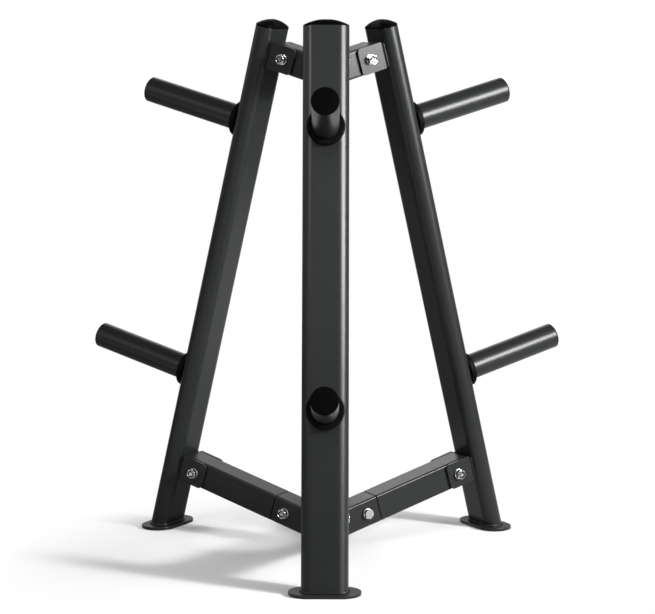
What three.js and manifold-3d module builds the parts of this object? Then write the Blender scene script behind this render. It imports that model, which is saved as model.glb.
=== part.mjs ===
// A free-standing tree for weight plates: three leaning legs of flat-sided oval tube, tied at two
// heights by three-armed hubs and square tube, with two plate pegs on the outside of each leg.
// Millimetres and degrees, +Z up, origin on the floor at the middle of the whole tree's box.
import * as THREE from 'three';
import { mergeVertices } from 'three/addons/utils/BufferGeometryUtils.js';
import Module from 'manifold-3d';

const wasm = await Module();
wasm.setup();

// Stance: the front leg stands towards -Y and the others follow a third of a turn apart
const legNames = ['front', 'right', 'left'];
const firstLegAzimuth = -90;
const legLean = 14.2;
const legLength = 1000;

// Leg tube, a flat-sided oval
const legWidth = 82.5;
const legDepth = 38;
const legWall = 2.5;

// Foot plate, an oval plate welded under each leg, set back towards the tree's middle
const footPlateWidth = 127;
const footPlateDepth = 66;
const footPlateThickness = 6;
const footPlateSetback = 2;

// Leg cap, a domed plug in the tube's top
const legCapFlange = 2.8;
const legCapDome = 11;
const legCapPlug = 14;

// Pegs: how far up the leg the lower one is, how far below its top the upper one, and their reach
const lowerPegRise = 316.5;
const upperPegDrop = 183.5;
const pegDiameter = 48;
const pegWall = 3;
const pegReach = 214;

// Peg cap, a thin disc with a plug
const pegCapFlange = 1.6;
const pegCapCrown = 0.9;
const pegCapEdge = 1.6;
const pegCapPlug = 12;

// Stop ring, a rubber collar at the root of each peg
const ringDiameter = 68;
const ringThickness = 12;
const ringEdge = 2.5;

// Square brace tube of the hubs and bars, how far from level it rises towards the legs, and how far
// from a leg's lower and upper ends its axis meets the leg's
const braceSize = 50.8;
const braceWall = 2.5;
const braceCorner = 4;
const braceTilt = 15.8;
const lowerBraceRise = 134.2;
const upperBraceDrop = 46.3;

// Hub arms, the same on both hubs, and the lower level's joint between arm and bar
const hubArmReach = 105;
const jointBoltInset = 26;
const jointGap = 1;
const sleeveWall = 3;
const sleeveReach = 42;

// Leg bracket, a channel bent from plate whose web lies on the leg's inner face
const bracketPlate = 5;
const bracketLength = 57;
const bracketHeight = 50;
const bracketCorner = 8;
const bracketBoltReach = 35;
const braceEndGap = 3;

// Fasteners
const boltDiameter = 10;
const headAcross = 17;
const headHeight = 6.4;
const nutHexHeight = 7.4;
const collarHeight = 2.6;
const collarDiameter = 15;
const washerDiameter = 20;
const washerThickness = 2;
const boltTail = 3;

// Clearances
const seatGap = 0.3;
const sideClearance = 0.5;
const plugClearance = 0.4;
const holeClearance = 0.5;
const threadClearance = 0.2;
const overrun = 5;

// Facets
const roundFacets = 24;
const ovalCurveSteps = 6;
const cornerSteps = 1;
const bracketCornerSteps = 2;
const washerFacets = 18;
const holeFacets = 16;
const hexSides = 6;
const domeScaleShares = [0.93, 0.78, 0.52, 0.26];

// Which side of each joint shows its nut: +1 is anticlockwise round the tree, seen from above
const bracketNutSide = { front: 1, right: -1, left: 1 };
const hubNutSide = { front: 1, right: 1, left: 1 };

// Values worked out from the driving dimensions
const lean = THREE.MathUtils.degToRad(legLean);
const tilt = THREE.MathUtils.degToRad(braceTilt);
const tiltPastLean = tilt - lean;
const quarterTurn = Math.PI / 2;
const legFace = legDepth / 2;
const plateTop = footPlateThickness + seatGap;
const pegRises = { lower: lowerPegRise, upper: legLength - upperPegDrop };
const bracketInnerHalf = braceSize / 2 + sideClearance;
const bracketGrip = 2 * (bracketInnerHalf + bracketPlate);
const bracketBoltPlace = legFace + bracketBoltReach;
const fuseDepth = washerThickness / 2;

// A bracket's web is square to its brace, so one end of the web's flat part comes to the leg first
const webFlatHalf = bracketHeight / 2 - bracketCorner;
const webSkew = webFlatHalf * Math.tan(Math.abs(tiltPastLean));
const bracketSeat = legFace / Math.cos(tiltPastLean) + webSkew + seatGap;
const braceEndPlace = bracketSeat + bracketPlate + braceEndGap;

// The upper hub's arms reach from its middle right to the leg brackets, and so set how wide the tree stands
const upperBraceRise = legLength - upperBraceDrop;
const upperLegReach = hubArmReach + braceEndPlace;
const footRadius = upperLegReach * Math.cos(tilt) + upperBraceRise * Math.sin(lean);

// Height on the tree's middle line, and reach from it to the leg's axis, of a brace
function braceAxis(rise) {
  const legRadius = footRadius - rise * Math.sin(lean);
  const height = rise * Math.cos(lean) - legRadius * Math.tan(tilt);
  return { rise, height, legReach: legRadius / Math.cos(tilt) };
}

const lowerBrace = braceAxis(lowerBraceRise);
const upperBrace = braceAxis(upperBraceRise);
const jointPlace = lowerBrace.legReach - hubArmReach;
const hubBoltPlace = jointPlace + jointBoltInset;

// Finishes
function framePaint() {
  return new THREE.MeshStandardMaterial({ color: '#3d403f', metalness: 0.35, roughness: 0.42 });
}

function blackPlastic() {
  return new THREE.MeshStandardMaterial({ color: '#0c0c0d', metalness: 0, roughness: 0.5 });
}

function blackRubber() {
  return new THREE.MeshStandardMaterial({ color: '#0e0e0e', metalness: 0, roughness: 0.8 });
}

function zincPlate() {
  return new THREE.MeshStandardMaterial({ color: '#c9cacb', metalness: 1, roughness: 0.25 });
}

// A closed solid from a geometry, turned the right way out
function solidOf(geometry) {
  const bare = geometry.index ? geometry.toNonIndexed() : geometry.clone();
  bare.deleteAttribute('normal');
  bare.deleteAttribute('uv');
  const merged = mergeVertices(bare);
  const vertProperties = new Float32Array(merged.attributes.position.array);
  const triVerts = new Uint32Array(merged.index.array);
  if (signedVolume(vertProperties, triVerts) < 0) triVerts.reverse();
  return new wasm.Manifold(new wasm.Mesh({ numProp: 3, vertProperties, triVerts }));
}

// Six times the volume that the triangles enclose, negative when they face inwards
function signedVolume(points, corners) {
  const [a, b, c] = [new THREE.Vector3(), new THREE.Vector3(), new THREE.Vector3()];
  let total = 0;
  for (let i = 0; i < corners.length; i += 3) {
    a.fromArray(points, 3 * corners[i]);
    b.fromArray(points, 3 * corners[i + 1]);
    c.fromArray(points, 3 * corners[i + 2]);
    total += a.dot(b.cross(c));
  }
  return total;
}

// A geometry from a closed solid
function geometryOf(solid) {
  const mesh = solid.getMesh();
  const positions = new Float32Array(3 * mesh.numVert);
  for (let i = 0; i < mesh.numVert; i += 1) {
    for (let axis = 0; axis < 3; axis += 1) {
      positions[3 * i + axis] = mesh.vertProperties[mesh.numProp * i + axis];
    }
  }
  const geometry = new THREE.BufferGeometry();
  geometry.setAttribute('position', new THREE.BufferAttribute(positions, 3));
  geometry.setIndex(new THREE.BufferAttribute(new Uint32Array(mesh.triVerts), 1));
  geometry.computeVertexNormals();
  return geometry;
}

// Outline of an oval with flat sides, its long way along Y
function ovalOutline(outline, width, depth) {
  const radius = depth / 2;
  const straight = width / 2 - radius;
  outline.absarc(0, straight, radius, 0, Math.PI, false);
  outline.absarc(0, -straight, radius, Math.PI, 2 * Math.PI, false);
  outline.closePath();
  return outline;
}

// Outline of a rectangle with round corners, about its middle
function roundRectangle(outline, length, height, corner) {
  const x = length / 2 - corner;
  const y = height / 2 - corner;
  outline.absarc(x, y, corner, 0, quarterTurn, false);
  outline.absarc(-x, y, corner, quarterTurn, Math.PI, false);
  outline.absarc(-x, -y, corner, Math.PI, 3 * quarterTurn, false);
  outline.absarc(x, -y, corner, 3 * quarterTurn, 4 * quarterTurn, false);
  outline.closePath();
  return outline;
}

function extrude(shape, depth, curveSegments) {
  return new THREE.ExtrudeGeometry(shape, { depth, curveSegments, bevelEnabled: false });
}

// A turned piece whose axis is +X, from points of radius and place along the axis
function turnedAlongX(profile, facets) {
  const points = profile.map(([radius, along]) => new THREE.Vector2(radius, along));
  const geometry = new THREE.LatheGeometry(points, facets);
  geometry.rotateZ(-quarterTurn);
  return geometryOf(solidOf(geometry));
}

// A round or six-sided bar along Y, between two places
function barAlongY(diameter, from, to, facets) {
  const geometry = new THREE.CylinderGeometry(diameter / 2, diameter / 2, to - from, facets);
  geometry.translate(0, (from + to) / 2, 0);
  return geometry;
}

// The solid of a square bar along +X, between two places
function squareBarSolid(size, corner, from, to) {
  const geometry = extrude(roundRectangle(new THREE.Shape(), size, size, corner), to - from, cornerSteps);
  geometry.rotateY(quarterTurn);
  geometry.translate(from, 0, 0);
  return solidOf(geometry);
}

// A square tube along +X, between two places, with cross holes along Y
function squareTubeSolid(size, wall, corner, from, to, holePlaces) {
  const bore = squareBarSolid(size - 2 * wall, corner - wall / 2, from - overrun, to + overrun);
  let tube = squareBarSolid(size, corner, from, to).subtract(bore);
  for (const place of holePlaces) tube = tube.subtract(crossHole(size, place));
  return tube;
}

// The solid that drills a bolt hole along Y through a piece of the given width
function crossHole(width, place) {
  const reach = width / 2 + overrun;
  const drill = barAlongY(boltDiameter + 2 * holeClearance, -reach, reach, holeFacets);
  drill.translate(place, 0, 0);
  return solidOf(drill);
}

// The leg tube, from the foot plate's top, where it is cut level, to its square-cut upper end
function legGeometry() {
  const shape = ovalOutline(new THREE.Shape(), legWidth, legDepth);
  shape.holes.push(ovalOutline(new THREE.Path(), legWidth - 2 * legWall, legDepth - 2 * legWall));
  const geometry = extrude(shape, legLength, ovalCurveSteps);
  const places = geometry.attributes.position;
  for (let i = 0; i < places.count; i += 1) {
    if (places.getZ(i) < legLength / 2) {
      places.setZ(i, (plateTop - places.getX(i) * Math.sin(lean)) / Math.cos(lean));
    }
  }
  return geometryOf(solidOf(geometry));
}

// A closed loft through oval levels, each given by its width, depth and height
function ovalLoft(levels) {
  const rings = levels.map(({ width, depth, height }) => {
    const points = ovalOutline(new THREE.Shape(), width, depth).getPoints(ovalCurveSteps);
    points.pop();
    return points.map((point) => new THREE.Vector3(point.x, point.y, height));
  });
  const count = rings[0].length;
  const positions = [];
  const triangle = (...corners) => corners.forEach((corner) => positions.push(...corner.toArray()));
  for (let level = 1; level < rings.length; level += 1) {
    for (let i = 0; i < count; i += 1) {
      const next = (i + 1) % count;
      triangle(rings[level - 1][i], rings[level - 1][next], rings[level][next]);
      triangle(rings[level - 1][i], rings[level][next], rings[level][i]);
    }
  }
  const bottom = new THREE.Vector3(0, 0, levels[0].height);
  const top = new THREE.Vector3(0, 0, levels[levels.length - 1].apex);
  for (let i = 0; i < count; i += 1) {
    const next = (i + 1) % count;
    triangle(bottom, rings[0][next], rings[0][i]);
    triangle(top, rings[rings.length - 1][i], rings[rings.length - 1][next]);
  }
  const geometry = new THREE.BufferGeometry();
  geometry.setAttribute('position', new THREE.Float32BufferAttribute(positions, 3));
  return geometryOf(solidOf(geometry));
}

// The domed cap of a leg, in the leg's own frame
function legCapGeometry() {
  const plug = {
    width: legWidth - 2 * (legWall + plugClearance),
    depth: legDepth - 2 * (legWall + plugClearance),
  };
  const rim = { width: legWidth, depth: legDepth };
  const flangeFoot = legLength + seatGap;
  const flangeTop = flangeFoot + legCapFlange;
  const dome = domeScaleShares.map((share) => ({
    width: legWidth * share,
    depth: legDepth * share,
    height: flangeTop + legCapDome * (1 - share * share),
  }));
  dome[dome.length - 1].apex = flangeTop + legCapDome;
  return ovalLoft([
    { ...plug, height: legLength - legCapPlug },
    { ...plug, height: flangeFoot },
    { ...rim, height: flangeFoot },
    { ...rim, height: flangeTop },
    ...dome,
  ]);
}

// The foot plate, lying on the floor about its own middle
function footPlateGeometry() {
  const shape = ovalOutline(new THREE.Shape(), footPlateWidth, footPlateDepth);
  return geometryOf(solidOf(extrude(shape, footPlateThickness, ovalCurveSteps)));
}

// The peg tube, its axis +X, starting at the leg's face
function pegGeometry() {
  const bore = pegDiameter / 2 - pegWall;
  return turnedAlongX([
    [bore, seatGap],
    [pegDiameter / 2, seatGap],
    [pegDiameter / 2, pegReach],
    [bore, pegReach],
    [bore, seatGap],
  ], roundFacets);
}

// The peg's end cap, its axis +X, starting at the peg tube's end
function pegCapGeometry() {
  const radius = pegDiameter / 2;
  const plugRadius = radius - pegWall - plugClearance;
  const flangeTop = seatGap + pegCapFlange;
  return turnedAlongX([
    [0, -pegCapPlug],
    [plugRadius, -pegCapPlug],
    [plugRadius, seatGap],
    [radius, seatGap],
    [radius, flangeTop - pegCapFlange / 2],
    [radius - pegCapEdge, flangeTop],
    [0, flangeTop + pegCapCrown],
  ], roundFacets);
}

// The rubber stop ring round the peg's root, its axis +X
function ringGeometry() {
  const bore = pegDiameter / 2 + sideClearance;
  const radius = ringDiameter / 2;
  const back = seatGap + ringThickness;
  return turnedAlongX([
    [bore, seatGap],
    [radius - ringEdge, seatGap],
    [radius, seatGap + ringEdge],
    [radius, back - ringEdge],
    [radius - ringEdge, back],
    [bore, back],
    [bore, seatGap],
  ], roundFacets);
}

// The channel bracket on a leg's inner face, in the brace's frame
function bracketGeometry() {
  const shape = roundRectangle(new THREE.Shape(), bracketLength, bracketHeight, bracketCorner);
  const block = extrude(shape, bracketGrip, bracketCornerSteps);
  block.rotateX(quarterTurn);
  block.translate(-bracketSeat - bracketLength / 2, bracketGrip / 2, 0);
  const web = bracketSeat + bracketPlate;
  const channelLength = bracketLength + overrun;
  const channelHeight = bracketHeight + 2 * overrun;
  const channel = new THREE.BoxGeometry(channelLength, 2 * bracketInnerHalf, channelHeight);
  channel.translate(-web - channelLength / 2, 0, 0);
  const cuts = solidOf(channel).add(crossHole(bracketGrip, -bracketBoltPlace));
  return geometryOf(solidOf(block).subtract(cuts));
}

// The lower brace bar, in the brace's frame
function barGeometry() {
  const from = -jointPlace + jointGap;
  const to = -braceEndPlace;
  return geometryOf(squareTubeSolid(braceSize, braceWall, braceCorner, from, to, [-bracketBoltPlace]));
}

// The sleeve inside the joint of a lower bar and the hub, in the same frame as the bar
function sleeveGeometry() {
  const size = braceSize - 2 * (braceWall + sideClearance);
  const corner = braceCorner - braceWall / 2;
  const ends = [-jointPlace - sleeveReach, -jointPlace + sleeveReach];
  return geometryOf(squareTubeSolid(size, sleeveWall, corner, ...ends, [-hubBoltPlace]));
}

// A hub of three square tube arms that rise outwards, about its own middle
function hubGeometry(boltReach) {
  const from = -braceSize / 2 * Math.tan(tilt);
  let body = null;
  let bore = null;
  for (const name of legNames) {
    const turn = armTurn(name);
    const arm = squareBarSolid(braceSize, braceCorner, from, hubArmReach).transform(turn.elements);
    const hollowSize = braceSize - 2 * braceWall;
    const hollow = squareBarSolid(hollowSize, braceCorner - braceWall / 2, from, hubArmReach + overrun);
    const cuts = hollow.add(crossHole(braceSize, boltReach)).transform(turn.elements);
    body = body ? body.add(arm) : arm;
    bore = bore ? bore.add(cuts) : cuts;
  }
  return geometryOf(body.subtract(bore));
}

// A hex bolt with its washer, along Y, its clamped stack of the given thickness about the origin
function boltGeometry(grip) {
  const seat = grip / 2 + seatGap;
  const headFoot = seat + washerThickness;
  const tail = headFoot + nutHexHeight + collarHeight + boltTail;
  const head = solidOf(barAlongY(hexCorners(headAcross), -headFoot - headHeight, -headFoot, hexSides));
  const washer = solidOf(barAlongY(washerDiameter, -headFoot - fuseDepth, -seat, washerFacets));
  const shank = solidOf(barAlongY(boltDiameter, -headFoot - fuseDepth, tail, holeFacets));
  return geometryOf(head.add(washer).add(shank));
}

// The size over the corners of a hexagon with the given size over its flats
function hexCorners(across) {
  return across / Math.cos(Math.PI / hexSides);
}

// A locking nut with its washer, along Y, on the far side of the same stack
function nutGeometry(grip) {
  const seat = grip / 2 + seatGap;
  const foot = seat + washerThickness;
  const hexTop = foot + nutHexHeight;
  const collarTop = hexTop + collarHeight;
  const washer = solidOf(barAlongY(washerDiameter, seat, foot, washerFacets));
  const hex = solidOf(barAlongY(hexCorners(headAcross), foot - fuseDepth, hexTop, hexSides));
  const collar = solidOf(barAlongY(collarDiameter, hexTop - fuseDepth, collarTop, washerFacets));
  const boreDiameter = boltDiameter + 2 * threadClearance;
  const bore = solidOf(barAlongY(boreDiameter, seat - overrun, collarTop + overrun, holeFacets));
  return geometryOf(washer.add(hex).add(collar).subtract(bore));
}

function legAzimuth(name) {
  return THREE.MathUtils.degToRad(firstLegAzimuth + 360 * legNames.indexOf(name) / legNames.length);
}

// Turns +X to point along a hub's arm towards a leg, and +Y round the tree
function armTurn(name) {
  return new THREE.Matrix4().makeRotationFromEuler(new THREE.Euler(0, -tilt, legAzimuth(name), 'ZYX'));
}

function addMesh(parent, name, geometry, material, place = [0, 0, 0]) {
  const mesh = new THREE.Mesh(geometry, material);
  mesh.name = name;
  mesh.position.set(...place);
  parent.add(mesh);
  return mesh;
}

// The frame of one leg: origin where its axis meets the floor
function makeLegFrame(name) {
  const frame = new THREE.Group();
  const azimuth = legAzimuth(name);
  frame.position.set(footRadius * Math.cos(azimuth), footRadius * Math.sin(azimuth), 0);
  frame.rotation.set(0, -lean, azimuth, 'ZYX');
  return frame;
}

function addFoot(tree, name) {
  const azimuth = legAzimuth(name);
  const radius = footRadius - footPlateSetback;
  const place = [radius * Math.cos(azimuth), radius * Math.sin(azimuth), 0];
  addMesh(tree, `foot_plate_${name}`, footPlateGeometry(), framePaint(), place).rotation.z = azimuth;
}

function addLeg(frame, name) {
  addMesh(frame, `leg_${name}`, legGeometry(), framePaint());
  addMesh(frame, `leg_cap_${name}`, legCapGeometry(), blackPlastic());
}

function addPegs(frame, name) {
  for (const [level, rise] of Object.entries(pegRises)) {
    const root = [legFace, 0, rise];
    addMesh(frame, `${level}_peg_${name}`, pegGeometry(), framePaint(), root);
    addMesh(frame, `${level}_stop_ring_${name}`, ringGeometry(), blackRubber(), root);
    const tip = [legFace + pegReach, 0, rise];
    addMesh(frame, `${level}_peg_cap_${name}`, pegCapGeometry(), blackPlastic(), tip);
  }
}

// One bolt and its nut through a joint at the given place, its nut on the given side
function addFastener(frame, joint, name, grip, place, nutSide) {
  const pair = new THREE.Group();
  pair.position.set(...place);
  pair.rotation.x = nutSide > 0 ? 0 : Math.PI;
  addMesh(pair, `${joint}_bolt_${name}`, boltGeometry(grip), zincPlate());
  addMesh(pair, `${joint}_nut_${name}`, nutGeometry(grip), zincPlate());
  frame.add(pair);
}

// The frame of a brace where it meets a leg: origin on the leg's axis, +X outwards along the brace
function makeBraceFrame(legFrame, rise) {
  const frame = new THREE.Group();
  frame.position.z = rise;
  frame.rotation.y = -tiltPastLean;
  legFrame.add(frame);
  return frame;
}

function addBraces(legFrame, name) {
  const lower = makeBraceFrame(legFrame, lowerBrace.rise);
  const upper = makeBraceFrame(legFrame, upperBrace.rise);
  for (const [level, frame] of Object.entries({ lower, upper })) {
    addMesh(frame, `${level}_bracket_${name}`, bracketGeometry(), framePaint());
    const boltPlace = [-bracketBoltPlace, 0, 0];
    addFastener(frame, `${level}_bracket`, name, bracketGrip, boltPlace, bracketNutSide[name]);
  }
  addMesh(lower, `brace_bar_${name}`, barGeometry(), framePaint());
  addMesh(lower, `joint_sleeve_${name}`, sleeveGeometry(), framePaint());
  addFastener(lower, 'hub_joint', name, braceSize, [-hubBoltPlace, 0, 0], hubNutSide[name]);
}

function addHubs(tree) {
  const upperBoltReach = upperBrace.legReach - bracketBoltPlace;
  const lowerBoltReach = hubArmReach - jointBoltInset;
  const upperHub = hubGeometry(upperBoltReach);
  const lowerHub = hubGeometry(lowerBoltReach);
  addMesh(tree, 'upper_hub', upperHub, framePaint(), [0, 0, upperBrace.height]);
  addMesh(tree, 'lower_hub', lowerHub, framePaint(), [0, 0, lowerBrace.height]);
}

const tree = new THREE.Group();
for (const name of legNames) {
  addFoot(tree, name);
  const frame = makeLegFrame(name);
  addLeg(frame, name);
  addPegs(frame, name);
  addBraces(frame, name);
  tree.add(frame);
}
addHubs(tree);

// The origin goes under the middle of the tree's own box
const extent = new THREE.Box3().setFromObject(tree, true);
tree.position.y = -extent.getCenter(new THREE.Vector3()).y;

export default tree;
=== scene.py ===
"""Looks of a free-standing tree for weight plates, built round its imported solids.

Lengths in the classes are in millimetres, in the frame of the piece, and every mesh is placed in the
row frame in metres. The studio's own lengths are in metres. A leg's frame has +X out of its outer face,
+Y round the tree and +Z up the leg. A brace's frame has +X outwards along the brace and +Y across it.
"""

from __future__ import annotations

import logging
import math
from dataclasses import dataclass, field
from enum import Enum
from typing import Callable, Iterable, Sequence
import bmesh
import bpy
from mathutils import Matrix, Vector


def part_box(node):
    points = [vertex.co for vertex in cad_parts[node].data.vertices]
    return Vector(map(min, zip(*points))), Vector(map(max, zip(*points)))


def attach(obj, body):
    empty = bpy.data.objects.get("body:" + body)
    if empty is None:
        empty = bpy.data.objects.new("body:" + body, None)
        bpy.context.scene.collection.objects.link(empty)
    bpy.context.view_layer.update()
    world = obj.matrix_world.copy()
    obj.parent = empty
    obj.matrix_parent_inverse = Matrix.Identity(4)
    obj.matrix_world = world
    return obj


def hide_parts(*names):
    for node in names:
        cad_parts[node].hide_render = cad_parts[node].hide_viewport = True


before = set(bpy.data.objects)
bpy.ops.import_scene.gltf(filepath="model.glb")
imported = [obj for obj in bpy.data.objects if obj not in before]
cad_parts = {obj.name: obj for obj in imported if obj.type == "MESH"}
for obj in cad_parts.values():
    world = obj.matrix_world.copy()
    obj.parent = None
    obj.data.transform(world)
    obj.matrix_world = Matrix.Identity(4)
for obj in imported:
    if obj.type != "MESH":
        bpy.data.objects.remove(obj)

log = logging.getLogger("plate_tree")

MM = 0.001
TURN = 2 * math.pi
QUARTER = math.pi / 2
SIXTH = math.radians(60)
GAP = 0.3
EASE_MIDDLE = 0.3
FASTENER_STEPS = 48
WHITE = (1.0, 1.0, 1.0, 1.0)
BODY = "root"

# The Mix node's sockets for colours, whose names it shares with its other sockets
MIX_FACTOR, MIX_FIRST, MIX_SECOND, MIX_RESULT = 0, 6, 7, 2

Piece = bpy.types.Object
Point = tuple[float, float, float]
Pair = tuple[float, float]
Shade = tuple[int, int, int]
Outline = list[Pair]
Ring = list[Vector]


class Side(Enum):
    """The three legs, by where they stand: azimuth of each in degrees, anticlockwise from +X."""

    FRONT = -90.0
    RIGHT = 30.0
    LEFT = 150.0

    @property
    def word(self) -> str:
        """The leg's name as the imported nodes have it."""
        return self.name.lower()

    @property
    def azimuth(self) -> float:
        """The leg's direction from the middle of the tree, in radians."""
        return math.radians(self.value)


class Level(Enum):
    """The two heights at which a leg carries a peg and a bracket."""

    LOWER = "lower"
    UPPER = "upper"


class Slot(Enum):
    """The record's material slots."""

    PAINT = "frame_paint"
    PLASTIC = "cap_plastic"
    RUBBER = "ring_rubber"
    ZINC = "zinc"


class Cut(Enum):
    """What carving does with its tools."""

    JOIN = "UNION"
    REMOVE = "DIFFERENCE"
    KEEP = "INTERSECT"


class Shading(Enum):
    """The angle in degrees over which a piece's edges stay sharp, and whether its flat faces stay flat."""

    PLAIN = (35.0, True)
    BEAD = (60.0, False)
    FASTENER = (28.0, False)


class NutEnd(Enum):
    """The end of a joint that its nut is on, along the joint's Y."""

    PLUS = 1
    MINUS = -1


# Shader expressions


class Sock:
    """A socket's value in an expression, where arithmetic adds Math nodes."""

    def __init__(self, graph: "Graph", socket: bpy.types.NodeSocket) -> None:
        """Wraps an output socket of a node in a graph."""
        self.graph = graph
        self.socket = socket

    def _math(self, operation: str, first: "Sock | float", second: "Sock | float") -> "Sock":
        """The result of one Math node."""
        return self.graph.add("ShaderNodeMath", {"operation": operation}, {0: first, 1: second})

    def __add__(self, other: "Sock | float") -> "Sock":
        """This plus other."""
        return self._math("ADD", self, other)

    def __radd__(self, other: float) -> "Sock":
        """Other plus this."""
        return self._math("ADD", other, self)

    def __sub__(self, other: "Sock | float") -> "Sock":
        """This less other."""
        return self._math("SUBTRACT", self, other)

    def __rsub__(self, other: float) -> "Sock":
        """Other less this."""
        return self._math("SUBTRACT", other, self)

    def __mul__(self, other: "Sock | float") -> "Sock":
        """This times other."""
        return self._math("MULTIPLY", self, other)

    def __rmul__(self, other: float) -> "Sock":
        """Other times this."""
        return self._math("MULTIPLY", other, self)

    def __truediv__(self, other: "Sock | float") -> "Sock":
        """This over other."""
        return self._math("DIVIDE", self, other)

    def __rtruediv__(self, other: float) -> "Sock":
        """Other over this."""
        return self._math("DIVIDE", other, self)

    def fract(self) -> "Sock":
        """The part after the point."""
        return self._math("FRACT", self, 0.0)

    def larger(self, other: "Sock | float") -> "Sock":
        """The larger of this and other."""
        return self._math("MAXIMUM", self, other)

    def ramp(self, low: float, high: float) -> "Sock":
        """0 below low and 1 above high, with a smooth step between them."""
        keys = {"Value": self, "From Min": low, "From Max": high}
        return self.graph.add("ShaderNodeMapRange", {"interpolation_type": "SMOOTHSTEP"}, keys)


class Graph:
    """A node tree that is built with one method."""

    def __init__(self, tree: bpy.types.NodeTree) -> None:
        """Empties the tree to build in."""
        self.tree = tree
        tree.nodes.clear()

    def node(self, kind: str, settings: dict | None = None, inputs: dict | None = None) -> bpy.types.Node:
        """Adds a node.

        Args:
            kind: The node's type.
            settings: The node's own settings, set before its sockets.
            inputs: Values or Socks for the node's input sockets, by name or index.

        Returns:
            The node.
        """
        made = self.tree.nodes.new(kind)
        for name, value in (settings or {}).items():
            setattr(made, name, value)
        for key, value in (inputs or {}).items():
            socket = made.inputs[key]
            if isinstance(value, Sock):
                self.tree.links.new(value.socket, socket)
            else:
                socket.default_value = value
        return made

    def add(
        self, kind: str, settings: dict | None = None, inputs: dict | None = None, output: int | str = 0
    ) -> Sock:
        """Adds a node and returns one of its outputs as a Sock."""
        return Sock(self, self.node(kind, settings, inputs).outputs[output])

    def place(self) -> Sock:
        """Object coordinates."""
        return self.add("ShaderNodeTexCoord", output="Object")

    def blend(self, share: Sock | float, first: object, second: object) -> Sock:
        """The colour a share of the way from the first colour to the second."""
        keys = {MIX_FACTOR: share, MIX_FIRST: first, MIX_SECOND: second}
        return self.add("ShaderNodeMix", {"data_type": "RGBA"}, keys, MIX_RESULT)

    def noise(self, place: Sock, scale: float, detail: float = 2.0, rough: float = 0.5) -> Sock:
        """Soft noise from 0 to 1 over a place."""
        keys = {"Vector": place, "Scale": scale, "Detail": detail, "Roughness": rough}
        return self.add("ShaderNodeTexNoise", None, keys)

    def relief(self, height: Sock) -> Sock:
        """The normal of a surface whose relief has a height in metres."""
        keys = {"Strength": 1.0, "Distance": 1.0, "Height": height}
        return self.add("ShaderNodeBump", None, keys, "Normal")

    def glow(self, strength: Sock | float) -> Sock:
        """A white Emission shader."""
        return self.add("ShaderNodeEmission", None, {"Color": WHITE, "Strength": strength})

    def end(self, shader: Sock) -> None:
        """Ends a material's tree in a shader."""
        self.node("ShaderNodeOutputMaterial", None, {"Surface": shader})


def linear(red: int, green: int, blue: int) -> tuple[float, float, float, float]:
    """A colour for a socket.

    Args:
        red: Red as displayed, from 0 to 255.
        green: Green.
        blue: Blue.

    Returns:
        The linear colour, with full alpha.
    """

    def channel(value: int) -> float:
        """One channel without its display curve."""
        share = value / 255
        return share / 12.92 if share <= 0.04045 else ((share + 0.055) / 1.055) ** 2.4

    return channel(red), channel(green), channel(blue), 1.0


def new_material(name: str) -> tuple[bpy.types.Material, Graph]:
    """An empty material.

    Args:
        name: The material's name.

    Returns:
        The material and the graph of its nodes.
    """
    material = bpy.data.materials.new(name)
    material.use_nodes = True
    return material, Graph(material.node_tree)


# Finishes

# How far the colour is from dark to pale, how uneven the gloss is, and the height of the relief in metres
Pattern = tuple[Sock, Sock, Sock]


@dataclass(frozen=True)
class Finish:
    """What every finish has: its slot, the two shades that its colour lies between, and its gloss."""

    name: str
    slot: Slot
    dark: Shade
    pale: Shade
    gloss: float
    uneven: float
    specular_level: float = 0.5
    metallic: float = 0.0

    def pattern(self, graph: Graph, place: Sock) -> Pattern:
        """The finish's pattern at a place on the surface."""
        raise NotImplementedError

    def build(self) -> bpy.types.Material:
        """Makes the material.

        Returns:
            The material.
        """
        material, graph = new_material(self.name)
        shade_share, unevenness, height = self.pattern(graph, graph.place())
        keys = {
            "Base Color": graph.blend(shade_share, linear(*self.dark), linear(*self.pale)),
            "Roughness": self.gloss + unevenness * self.uneven,
            "Normal": graph.relief(height),
            "Specular IOR Level": self.specular_level,
            "Metallic": self.metallic,
        }
        graph.end(graph.add("ShaderNodeBsdfPrincipled", None, keys))
        return material


@dataclass(frozen=True)
class PowderCoat(Finish):
    """Satin powder coat on steel: a fine orange peel, faint mottling and a slightly uneven gloss."""

    name: str = "anthracite_powder_coat"
    slot: Slot = Slot.PAINT
    dark: Shade = (22, 24, 23)
    pale: Shade = (27, 29, 28)
    gloss: float = 0.31
    uneven: float = 0.06
    specular_level: float = 0.2
    cloud_scale: float = 7.0
    cloud_share: float = 0.6
    mottle_scale: float = 90.0
    peel_scale: float = 420.0
    peel_height: float = 0.000007
    grit_scale: float = 2600.0
    grit_height: float = 0.000003

    def pattern(self, graph: Graph, place: Sock) -> Pattern:
        """The coat's mottling and orange peel.

        Args:
            graph: The material's graph.
            place: A place on the surface.

        Returns:
            The finish's pattern at the place.
        """
        cloud = graph.noise(place, self.cloud_scale, detail=3.0)
        fine = graph.noise(place, self.mottle_scale, detail=3.0, rough=0.6)
        mottle = cloud * self.cloud_share + fine * (1.0 - self.cloud_share)
        peel = graph.noise(place, self.peel_scale, detail=1.0, rough=0.4)
        grit = graph.noise(place, self.grit_scale, detail=2.0, rough=0.6)
        return mottle, mottle - 0.5, peel * self.peel_height + grit * self.grit_height


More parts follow.
